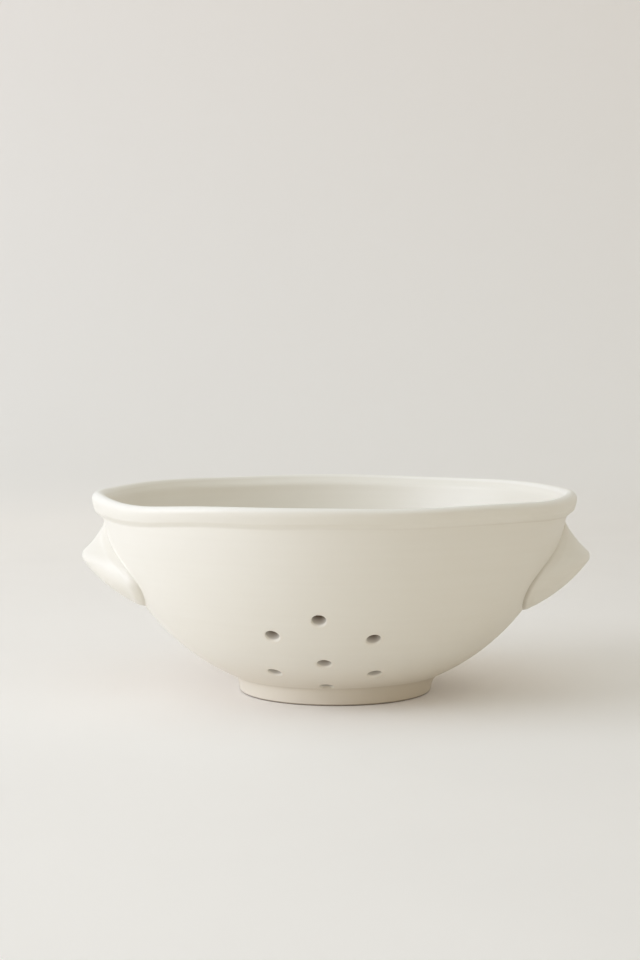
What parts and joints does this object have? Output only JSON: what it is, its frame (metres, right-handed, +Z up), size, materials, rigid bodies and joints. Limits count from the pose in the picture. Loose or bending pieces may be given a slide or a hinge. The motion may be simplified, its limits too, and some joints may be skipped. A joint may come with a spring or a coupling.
{
  "type": "ceramic colander",
  "caption": "Round footed ceramic colander with drain holes pierced through wall and floor, a flared rim band and ear-shaped lug handles, for rinsing and draining berries.",
  "frame": {"origin": "on the table, under the middle of the foot ring", "axes": "+Z up along the bowl's axis, +X to the right lug, -Y to the front where the drain holes are seen"},
  "size_m": [0.1798, 0.17, 0.0711],
  "materials": {
    "bowl_glaze": "warm white satin glaze",
    "rim_glaze": "warm white satin glaze, thinner on the edge",
    "foot_glaze": "warm white satin glaze, wiped bare under the foot",
    "lug_glaze": "warm white satin glaze"
  },
  "bodies": {
    "root": {"bowl_body": "bowl_glaze", "rim_band": "rim_glaze", "foot_ring": "foot_glaze", "left_lug_handle": "lug_glaze", "right_lug_handle": "lug_glaze"}
  },
  "joints": []
}
